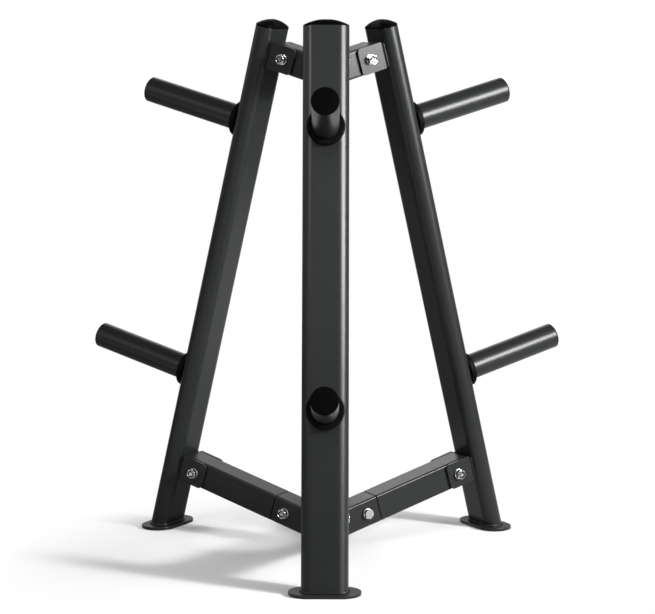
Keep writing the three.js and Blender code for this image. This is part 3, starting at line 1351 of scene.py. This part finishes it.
@dataclass(frozen=True)
class Hexagon:
    """A hexagon along Y with a corner up and its corners turned off at both ends."""

    across: float
    face_share: float = 1.07
    slope: float = math.tan(math.radians(28))
    edge_fall: float = 0.1
    edge_inset: float = 0.2

    @property
    def face(self) -> float:
        """The radius to which the corners are turned off."""
        return self.across / 2 * self.face_share

    def full(self, angle: float) -> float:
        """The hexagon's own radius in a direction."""
        return self.across / 2 / math.cos(((angle + SIXTH / 2) % SIXTH) - SIXTH / 2)

    def flat(self, angle: float) -> float:
        """The radius of the end's flat in a direction."""
        return min(self.full(angle) - self.edge_inset, self.face)

    def fall(self, angle: float) -> float:
        """How far the turned-off edge is from the end in a direction."""
        return self.edge_fall + max(0.0, self.full(angle) - self.face) * self.slope

    def rings(self, low: float, high: float) -> list[Ring]:
        """The rings of a head or nut.

        Args:
            low: Where it starts.
            high: Where it ends.

        Returns:
            The rings in order, from the low end's flat to the high end's.
        """
        levels = (
            (self.flat, lambda angle: low),
            (self.full, lambda angle: low + self.fall(angle)),
            (self.full, lambda angle: high - self.fall(angle)),
            (self.flat, lambda angle: high),
        )
        angles = [TURN * i / FASTENER_STEPS for i in range(FASTENER_STEPS)]
        return [
            [Vector((radius(a) * math.cos(a), y(a), radius(a) * math.sin(a))) for a in angles]
            for radius, y in levels
        ]


class Joint(Enum):
    """The kinds of bolted joint, by the thickness that the bolt clamps."""

    BRACKET = 61.8
    HUB = 50.8

    @property
    def word(self) -> str:
        """The joint's name in the names of its pieces."""
        return "bracket" if self is Joint.BRACKET else "hub_joint"


@dataclass(frozen=True)
class Bolting:
    """A joint's place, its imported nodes' words and the end that its nut is on."""

    node_word: str
    side: Side
    matrix: Matrix
    nut_end: NutEnd = NutEnd.PLUS


@dataclass
class Fasteners:
    """The hex bolts, washers and locking nuts of one kind of joint, each built about the joint's middle."""

    joint: Joint
    places: list[Bolting]
    bolt: float = 10.0
    pitch: float = 1.5
    thread: float = 0.85
    thread_run: float = 4.0
    thread_step: float = 0.3
    thread_fade: float = 2.0
    thread_taper: float = 1.8
    end_inset: float = 2.0
    across: float = 17.0
    head: float = 6.4
    nut: float = 7.4
    nut_clearance: float = 0.15
    collar: float = 2.6
    collar_radius: float = 7.6
    collar_fillet: Pair = (0.3, 0.4)
    collar_roll: tuple[Pair, ...] = ((0.0, 0.9), (0.2, 0.3), (0.6, 0.0))
    lip: float = 1.3
    lip_edge: tuple[Pair, ...] = ((0.25, 0.05), (0.0, 0.4))
    insert_clearance: float = 0.05
    insert_lift: float = 0.1
    insert_edge: float = 0.3
    insert_drops: Point = (1.0, 0.9, 1.1)
    washer: float = 20.0
    washer_thick: float = 2.0
    washer_clearance: float = 0.4
    washer_chamfer: float = 0.3
    washer_edge: float = 0.5
    gap: float = GAP

    @property
    def seat(self) -> float:
        """Where the washers lie, from the middle of the joint."""
        return self.joint.value / 2 + self.gap

    @property
    def foot(self) -> float:
        """Where the head and the nut lie on the washers."""
        return self.seat + self.washer_thick

    @property
    def top(self) -> float:
        """Where the nut's hexagon ends."""
        return self.foot + self.nut

    @property
    def crown(self) -> float:
        """Where the nut's collar and the bolt end."""
        return self.top + self.collar

    def thread_ring(self, y: float) -> Ring:
        """One ring of the bolt's thread, which fades in at its start and tapers at its end.

        Args:
            y: The ring's place along the bolt.

        Returns:
            The ring.
        """
        radius = self.bolt / 2
        fade = min(1.0, (y - (self.foot - self.thread_run)) / self.thread_fade)
        limit = radius - max(0.0, y - (self.crown - self.thread_taper))
        ring = []
        for i in range(FASTENER_STEPS):
            angle = TURN * i / FASTENER_STEPS
            wave = abs(2 * ((y / self.pitch + i / FASTENER_STEPS) % 1) - 1)
            r = min(radius - self.thread * wave * fade, limit)
            ring.append(Vector((r * math.cos(angle), y, r * math.sin(angle))))
        return ring

    def bolt_body(self) -> Piece:
        """The bolt: a hexagonal head with a turned face, a shank and a threaded end with a true helix.

        Returns:
            The bolt.
        """
        start, end, radius = self.foot - self.thread_run, self.crown, self.bolt / 2
        hexagon = Hexagon(self.across).rings(self.foot, self.foot + self.head)
        rings = [[Vector((p.x, -p.y, p.z)) for p in ring] for ring in reversed(hexagon)]
        rings += turned_rings([(radius, -self.foot), (radius, start)])
        count = int((end - start) / self.thread_step)
        rings += [self.thread_ring(start + (end - start) * k / count) for k in range(1, count + 1)]
        rings += turned_rings([(radius - self.end_inset, end)])
        return mesh_object("bolt_body", [(rings, False)])

    def washers(self) -> Piece:
        """A washer under the head and one under the nut.

        Returns:
            Both washers, as one object.
        """
        low, high = self.seat, self.foot
        outer, bore = self.washer / 2, self.bolt / 2 + self.washer_clearance
        chamfer, edge, middle = self.washer_chamfer, self.washer_edge, self.washer_edge * EASE_MIDDLE
        profile = [(bore, low), (outer - chamfer, low), (outer, low + chamfer), (outer, high - edge)]
        profile += [(outer - middle, high - middle), (outer - edge, high), (bore, high)]
        shells = [(turned_rings([(r, sign * y) for r, y in profile]), True) for sign in (-1, 1)]
        return mesh_object("washer_body", shells)

    def nut_body(self) -> Piece:
        """The nut: a hexagon with a round collar that is rolled in over its insert.

        Returns:
            The nut.
        """
        outer, lip = self.collar_radius, self.collar_radius - self.lip
        foot, top, crown = self.foot, self.top, self.crown
        bore = self.bolt / 2 + self.nut_clearance
        profile = [(outer + self.collar_fillet[0], top), (outer, top + self.collar_fillet[1])]
        profile += [(outer - inset, crown - drop) for inset, drop in self.collar_roll]
        profile += [(lip + out, crown - drop) for out, drop in self.lip_edge]
        profile += [(lip, top), (bore, top), (bore, foot)]
        rings = Hexagon(self.across).rings(foot, top) + turned_rings(profile)
        return mesh_object("nut_body", [(rings, True)])

    def insert(self) -> Piece:
        """The nylon ring in the nut's collar.

        Returns:
            The ring.
        """
        bore = self.bolt / 2 + self.insert_clearance
        outer = self.collar_radius - self.lip - self.insert_clearance
        low = self.top + self.insert_lift
        rim, crest, mouth = (self.crown - drop for drop in self.insert_drops)
        profile = [(bore, low), (outer, low), (outer, rim), (bore + self.insert_edge, crest), (bore, mouth)]
        return mesh_object("insert_body", [(turned_rings(profile), True)])

    def spread(self, name: str, model: Piece, finish: Finish, nodes: Sequence[str] = ()) -> None:
        """Sets a copy of a fastener at every joint.

        Args:
            name: The end of the piece's name.
            model: One fastener, in millimetres about its joint.
            finish: Its finish.
            nodes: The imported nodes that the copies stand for.
        """
        model.data.transform(Matrix.Scale(MM, 4))
        flips = {NutEnd.PLUS: Matrix.Identity(4), NutEnd.MINUS: turn(math.pi, "X")}
        matrices = [place.matrix @ flips[place.nut_end] for place in self.places]
        name = f"{self.joint.word}_{name}"
        made = plain_object(name, [matrix.translation * MM for matrix in matrices])
        turns = made.data.attributes.new("turn", "FLOAT_VECTOR", "POINT")
        for spot, matrix in zip(turns.data, matrices):
            spot.vector = tuple(matrix.to_euler("XYZ"))
        repeater = Repeater(
            f"{name}_spread",
            {
                "Fastener": ("NodeSocketObject", model),
                "Material": ("NodeSocketMaterial", WARDROBE.material(finish)),
            },
        )
        graph = repeater.graph
        shape = graph.add("GeometryNodeObjectInfo", None, {"Object": repeater.input("Fastener")}, "Geometry")
        settings = {"data_type": "FLOAT_VECTOR"}
        euler = graph.add("GeometryNodeInputNamedAttribute", settings, {"Name": "turn"}, "Attribute")
        rotation = graph.add("FunctionNodeEulerToRotation", None, {"Euler": euler})
        keys = {"Points": repeater.input("Geometry"), "Instance": shape, "Rotation": rotation}
        repeater.run(graph.add("GeometryNodeInstanceOnPoints", None, keys), made)
        drop(model)
        DRESSER.dress(made, finish, nodes, Shading.FASTENER)

    def build(self) -> None:
        """Builds all the joint's fasteners."""
        bolts = [f"{place.node_word}_bolt_{place.side.word}" for place in self.places]
        nuts = [f"{place.node_word}_nut_{place.side.word}" for place in self.places]
        self.spread("hex_bolts", self.bolt_body(), ZINC, bolts)
        self.spread("washers", self.washers(), ZINC)
        self.spread("lock_nuts", self.nut_body(), ZINC, nuts)
        self.spread("nut_inserts", self.insert(), INSERT_NYLON)


# Studio


@dataclass(frozen=True)
class Softbox:
    """A rectangular lamp that looks at a point. Cards stand for the lamps in reflections."""

    name: str
    place: Point
    target: Point
    width: float
    height: float
    power: float

    def build(self) -> None:
        """Hangs the lamp."""
        data = bpy.data.lights.new(self.name, "AREA")
        data.shape = "RECTANGLE"
        data.size, data.size_y = self.width, self.height
        data.energy = self.power
        lamp = linked(self.name, data)
        lamp.location = self.place
        lamp.rotation_euler = (Vector(self.target) - Vector(self.place)).to_track_quat("-Z", "Y").to_euler()
        lamp.visible_camera = False
        lamp.visible_glossy = False


def light_up(made: Piece, level: Callable[[Graph], Sock | float]) -> None:
    """Makes a mesh of the set glow white, seen only in reflections.

    Args:
        made: The mesh.
        level: Gives the glow's strength in the material's graph.
    """
    material, graph = new_material(made.name)
    graph.end(graph.glow(level(graph)))
    made.data.materials.append(material)
    for kind in ("camera", "diffuse", "shadow", "transmission", "volume_scatter"):
        setattr(made, f"visible_{kind}", False)


@dataclass(frozen=True)
class Card:
    """An upright glowing card that faces the tree."""

    name: str
    middle: Point
    width: float
    height: float
    glow: float

    def build(self) -> None:
        """Stands the card up."""
        x, z = self.width / 2, self.height / 2
        corners = [(-x, 0, -z), (x, 0, -z), (x, 0, z), (-x, 0, z)]
        card = plain_object(self.name, corners, faces=[(0, 1, 2, 3)])
        facing = math.atan2(self.middle[1], self.middle[0]) + QUARTER
        card.data.transform(Matrix.Translation(self.middle) @ turn(facing, "Z"))
        light_up(card, lambda graph: self.glow)


@dataclass(frozen=True)
class Surround:
    """A glowing band of the studio round the tree, such as a wall, a roof or part of the floor.

    The band runs between two azimuths in degrees and from an inner edge to an outer one, each given as
    a radius and a height. Where it has a second glow, it goes from the first to that over a range of
    heights.
    """

    name: str
    start: float
    end: float
    inner: Pair
    outer: Pair
    glow: float
    high_glow: float | None = None
    low: float = 1.5
    high: float = 3.3
    steps: int = 48

    def level(self, graph: Graph) -> Sock:
        """The glow at a place on the band.

        Args:
            graph: The material's graph.

        Returns:
            The strength.
        """
        height = graph.add("ShaderNodeSeparateXYZ", None, {"Vector": graph.place()}, "Z")
        rise = 0.0 if self.high_glow is None else self.high_glow - self.glow
        return height.ramp(self.low, self.high) * rise + self.glow

    def build(self) -> None:
        """Puts the band up."""
        points: list[Point] = []
        for radius, z in (self.inner, self.outer):
            points += [(x, y, z) for x, y in arc(0, 0, radius, self.start, self.end, self.steps)]
        count = self.steps + 1
        faces = [(i, i + 1, count + i + 1, count + i) for i in range(self.steps)]
        light_up(plain_object(self.name, points, faces=faces), self.level)


@dataclass(frozen=True)
class Floor:
    """A white floor that keeps the tree's shadow and fades into the background, in metres. A painted pool of
    light lightens the shadow behind the tree's middle, on the left.
    """

    size: float = 30.0
    drop: float = 0.0004
    color: tuple[float, float, float, float] = (0.67, 0.67, 0.67, 1.0)
    glow: float = 0.1
    # Painted light: round this point the floor glows more, which lightens the tree's shadow there.
    pool_middle: Point = (-0.15, 0.18, 0.0)
    pool_glow: float = 0.42
    pool_from: float = 0.06
    pool_to: float = 0.14
    clear_from: float = 0.36
    clear_to: float = 0.62

    def share(self, graph: Graph) -> Sock:
        """How much of the floor's own white shows at a place, over its shadows, including a painted pool of
        light that lightens the shadow behind the tree's middle.

        Args:
            graph: The material's graph.

        Returns:
            0 for a floor that only reflects light and 1 for one that only glows.
        """
        place = graph.place()
        far = graph.add("ShaderNodeVectorMath", {"operation": "LENGTH"}, {0: place}, "Value")
        # Painted light: a pool where the floor glows more, which lightens the shadow behind the tree's
        # middle.
        keys = {0: place, 1: self.pool_middle}
        off = graph.add("ShaderNodeVectorMath", {"operation": "DISTANCE"}, keys, "Value")
        painted_pool_of_light = (1.0 - off.ramp(self.pool_from, self.pool_to)) * self.pool_glow
        clear = far.ramp(self.clear_from, self.clear_to) * (1.0 - self.glow)
        return self.glow + painted_pool_of_light + clear

    def build(self) -> None:
        """Lays the floor."""
        half, z = self.size / 2, -self.drop
        corners = [(-half, -half, z), (half, -half, z), (half, half, z), (-half, half, z)]
        made = plain_object("studio_floor", corners, faces=[(0, 1, 2, 3)])
        material, graph = new_material("white_floor")
        matt = graph.add("ShaderNodeBsdfDiffuse", None, {"Color": self.color})
        keys = {0: seen(graph) * self.share(graph), 1: matt, 2: graph.glow(1.0)}
        graph.end(graph.add("ShaderNodeMixShader", None, keys))
        made.data.materials.append(material)


def seen(graph: Graph) -> Sock:
    """Tells the rays that look at the set from the light itself.

    Args:
        graph: A material's or the world's graph.

    Returns:
        1 where the camera, a reflection or a view through glass looks, and 0 for other rays.
    """
    rays = graph.node("ShaderNodeLightPath")
    found = Sock(graph, rays.outputs["Is Camera Ray"])
    for kind in ("Is Glossy Ray", "Is Transmission Ray"):
        found = found.larger(Sock(graph, rays.outputs[kind]))
    return found


KEY_PLACE = (2.6, -1.25, 1.45)

LAMPS = (
    Softbox("key_softbox", KEY_PLACE, target=(0.0, 0.0, 0.7), width=1.3, height=1.2, power=85.0),
    Softbox("key_spot", KEY_PLACE, target=(0.0, 0.0, 0.3), width=0.3, height=0.3, power=160.0),
    Softbox("left_softbox", (-2.1, -2.4, 2.4), target=(0.0, 0.0, 0.8), width=0.8, height=0.8, power=42.0),
    Softbox("top_softbox", (0.4, 0.6, 3.2), target=(0.0, 0.1, 0.0), width=2.5, height=2.5, power=12.0),
)

CARDS = (
    Card("key_card", (2.6, -1.25, 1.57), width=1.25, height=1.15, glow=59.0),
    Card("front_card", (1.95, -1.9, 1.9), width=0.6, height=1.2, glow=58.0),
    Card("left_card", (-2.1, -2.4, 2.5), width=0.8, height=0.8, glow=22.0),
    Card("back_card_right", (7.5, 20.0, 11.5), width=11.0, height=5.8, glow=1.6),
    Card("back_card_left", (-5.5, 20.0, 11.5), width=15.0, height=5.8, glow=3.4),
)

SURROUNDS = (
    Surround("back_wall", 0, 180, inner=(20.0, 0.0), outer=(20.0, 8.6), glow=0.3),
    Surround("front_wall", -125, -62, (5.2, 0.0), (5.2, 4.0), glow=0.05, high_glow=1.6, low=1.55, high=2.6),
    Surround("left_wall", -215, -125, (5.0, 0.0), (5.0, 4.0), glow=0.16, high_glow=1.3, low=0.7, high=1.9),
    Surround("right_wall", -62, -5, inner=(5.0, 0.0), outer=(5.0, 4.0), glow=0.8, high_glow=0.6),
    Surround("roof", 0, 360, inner=(0.01, 4.0), outer=(5.3, 4.0), glow=0.35),
    Surround("far_floor_right", -5, 56, inner=(2.0, 0.002), outer=(9.0, 0.002), glow=0.03),
    Surround("far_floor_left", 126, 180, inner=(2.2, 0.002), outer=(9.0, 0.002), glow=0.03),
    Surround("near_floor_right", 40, 88, inner=(0.25, 0.001), outer=(0.85, 0.001), glow=0.6),
    Surround("near_floor_left", 92, 180, inner=(0.25, 0.001), outer=(2.2, 0.001), glow=0.25),
)


@dataclass
class Studio:
    """White floor and background, soft lamps, and what the paint and the zinc reflect."""

    fill: float = 0.37

    def world(self) -> None:
        """White behind everything, with a softer level for the light that it gives."""
        world = bpy.data.worlds.new("studio")
        bpy.context.scene.world = world
        world.use_nodes = True
        graph = Graph(world.node_tree)
        strength = seen(graph) * (1.0 - self.fill) + self.fill
        glow = graph.add("ShaderNodeBackground", None, {"Color": WHITE, "Strength": strength})
        graph.node("ShaderNodeOutputWorld", None, {"Surface": glow})

    def build(self) -> None:
        """Sets up the studio."""
        bpy.context.scene.view_settings.view_transform = "Standard"
        self.world()
        for thing in (Floor(), *LAMPS, *CARDS, *SURROUNDS):
            thing.build()


@dataclass(frozen=True)
class PhotoCamera:
    """The camera at the photograph's place, worked out from the tree's measured edges."""

    frame_width: float = 655.0
    frame_height: float = 614.0
    focal: float = 2250.6
    distance: float = 4145.3
    height: float = 990.9
    pitch: float = math.radians(7.412)
    yaw: float = math.radians(0.296)
    roll: float = math.radians(0.081)
    middle_x: float = 326.18
    middle_y: float = 307.84
    sensor: float = 36.0
    near: float = 0.1
    far: float = 100.0

    def build(self) -> None:
        """Makes the camera and sets it as the scene's."""
        data = bpy.data.cameras.new("photo_camera")
        data.sensor_width = self.sensor
        data.lens = self.focal * self.sensor / self.frame_width
        data.shift_x = (self.frame_width / 2 - self.middle_x) / self.frame_width
        data.shift_y = (self.middle_y - self.frame_height / 2) / self.frame_width
        data.clip_start, data.clip_end = self.near, self.far
        camera = linked("photo_camera", data)
        back = Vector((self.distance * math.sin(self.yaw), -self.distance * math.cos(self.yaw), self.height))
        camera.location = (STANCE.middle() @ back) * MM
        aim = turn(self.yaw, "Z") @ turn(QUARTER - self.pitch, "X")
        camera.rotation_euler = (aim @ turn(self.roll, "Z")).to_euler()
        bpy.context.scene.camera = camera


# The whole tree


@dataclass
class PlateTree:
    """The whole tree, built from its sub-assemblies."""

    nut_ends: dict[Side, NutEnd] = field(
        default_factory=lambda: {Side.FRONT: NutEnd.PLUS, Side.RIGHT: NutEnd.MINUS, Side.LEFT: NutEnd.PLUS}
    )

    def bracket_boltings(self) -> list[Bolting]:
        """The bolted joints in the six brackets.

        Returns:
            The joints, the lower ones first.
        """
        found = []
        for level in Level:
            for side in Side:
                spot = STANCE.brace(side, level) @ shift(-TUBE.bolt_place)
                found.append(Bolting(f"{level.value}_bracket", side, spot, self.nut_ends[side]))
        return found

    def hub_boltings(self) -> list[Bolting]:
        """The bolted joints of the lower hub's arms."""
        hub, reach = STANCE.hub(Level.LOWER), TUBE.arm_reach - TUBE.joint_inset
        return [Bolting("hub_joint", side, hub @ STANCE.swing(side) @ shift(reach)) for side in Side]

    def sleeves(self) -> None:
        """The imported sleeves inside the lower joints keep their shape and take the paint."""
        for side in Side:
            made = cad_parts[f"joint_sleeve_{side.word}"]
            made.data.materials.clear()
            made.data.materials.append(WARDROBE.material(PAINT))

    def build(self) -> None:
        """Builds every piece."""
        for side in Side:
            Leg(side).build()
            for level in Level:
                PlatePeg(side, level).build()
                Bracket(side, level).build()
            LowerBrace(side).build()
        Hub(Level.LOWER, TUBE.arm_reach - TUBE.joint_inset).build()
        Hub(Level.UPPER, STANCE.leg_reach(Level.UPPER) - TUBE.bolt_place).build()
        Fasteners(Joint.BRACKET, self.bracket_boltings()).build()
        Fasteners(Joint.HUB, self.hub_boltings()).build()
        self.sleeves()


def main() -> None:
    """Builds the tree, the studio and the camera."""
    logging.basicConfig(level=logging.INFO, format="%(name)s: %(message)s")
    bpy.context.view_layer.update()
    PlateTree().build()
    Studio().build()
    PhotoCamera().build()
    log.info("%d pieces dressed", DRESSER.count)


if __name__ == "__main__":
    main()
